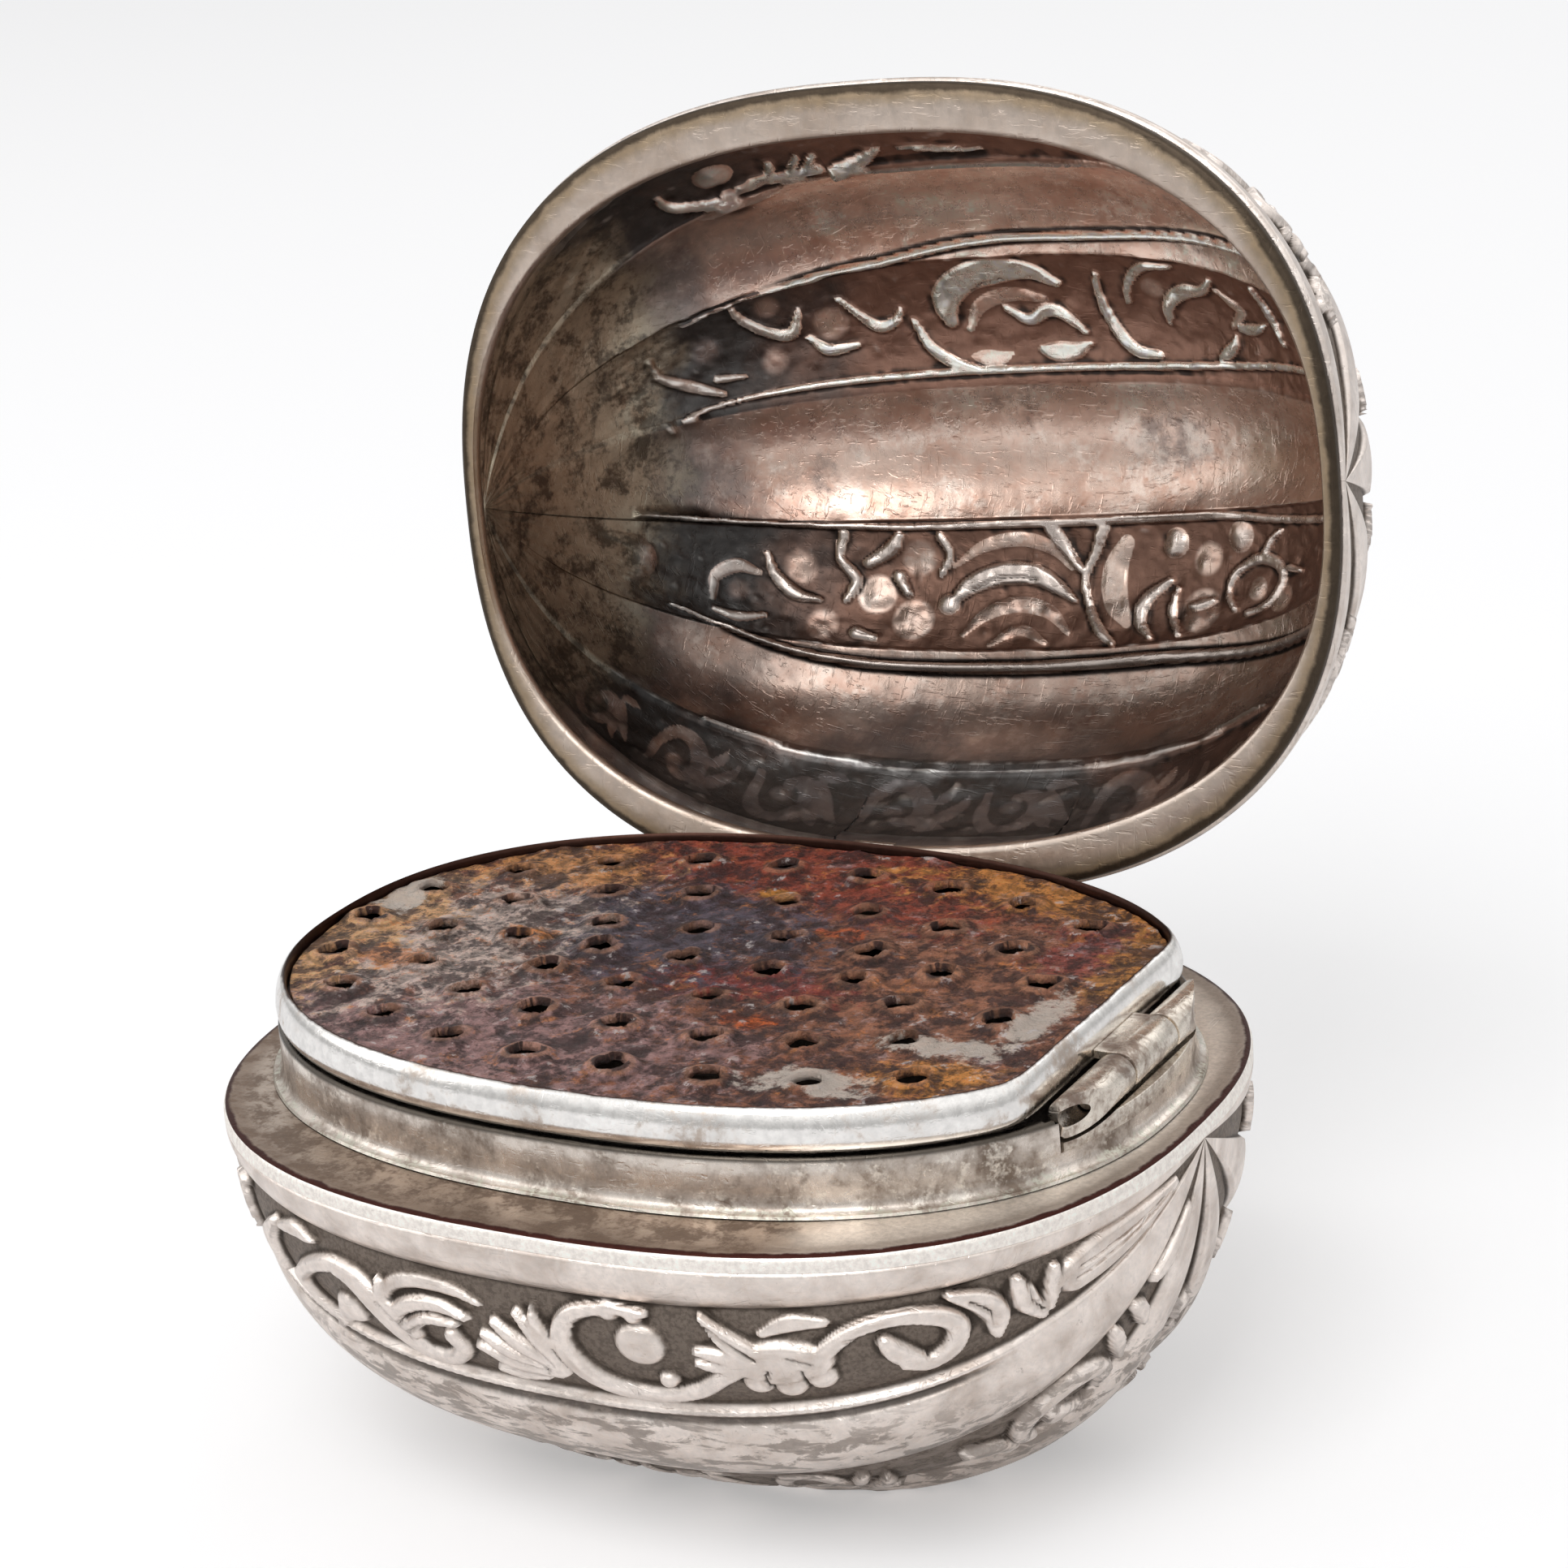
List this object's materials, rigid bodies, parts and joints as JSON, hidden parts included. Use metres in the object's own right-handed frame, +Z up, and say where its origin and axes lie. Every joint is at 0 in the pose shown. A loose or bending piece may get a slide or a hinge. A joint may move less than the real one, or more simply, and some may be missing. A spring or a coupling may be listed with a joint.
{
  "type": "nutmeg grater",
  "caption": "Pocket nutmeg grater shaped like a lobed nut: hinged lid open, punched iron grater plate hinged over the compartment that holds the nutmeg.",
  "frame": {"origin": "centre of the flat foot that the nut stands on", "axes": "+X along the nut from pole to pole towards the grater's hinge, -Y the front, +Y towards the lid's hinge, +Z up"},
  "size_m": [0.0414, 0.0519, 0.05],
  "materials": {
    "carved_silver": "tarnished silver, bright on the crests and dark in the carving",
    "plain_silver": "warm, lightly tarnished silver",
    "bright_silver": "polished silver",
    "hinge_silver": "worn silver",
    "hinge_pin": "dull pin wire",
    "rusty_iron": "rusted punched sheet"
  },
  "bodies": {
    "base": {"lower_shell": "carved_silver", "base_ledge": "plain_silver", "collar": "plain_silver", "hinge_gutter": "hinge_silver", "collar_knuckle_front": "hinge_silver", "collar_knuckle_back": "hinge_silver", "grater_hinge_pin": "hinge_pin", "base_knuckle_1": "hinge_silver", "base_knuckle_2": "hinge_silver", "base_knuckle_3": "hinge_silver", "lid_hinge_pin": "hinge_pin"},
    "grater": {"grater_frame": "bright_silver", "grater_plate": "rusty_iron", "frame_knuckle": "hinge_silver"},
    "lid": {"lid_shell": "carved_silver", "lid_flange": "plain_silver", "lid_knuckle_1": "hinge_silver", "lid_knuckle_2": "hinge_silver"}
  },
  "joints": [
    {"name": "lid_hinge", "type": "hinge", "parent": "base", "child": "lid", "pos_m": [0, 0.01665, 0.0163], "axis": [0.9975, 0.071, 0], "range_deg": [0, 97.17]},
    {"name": "grater_hinge", "type": "hinge", "parent": "base", "child": "grater", "pos_m": [0.0173, 0, 0.0172], "axis": [0, 1, 0], "range_deg": [0, 5]}
  ]
}
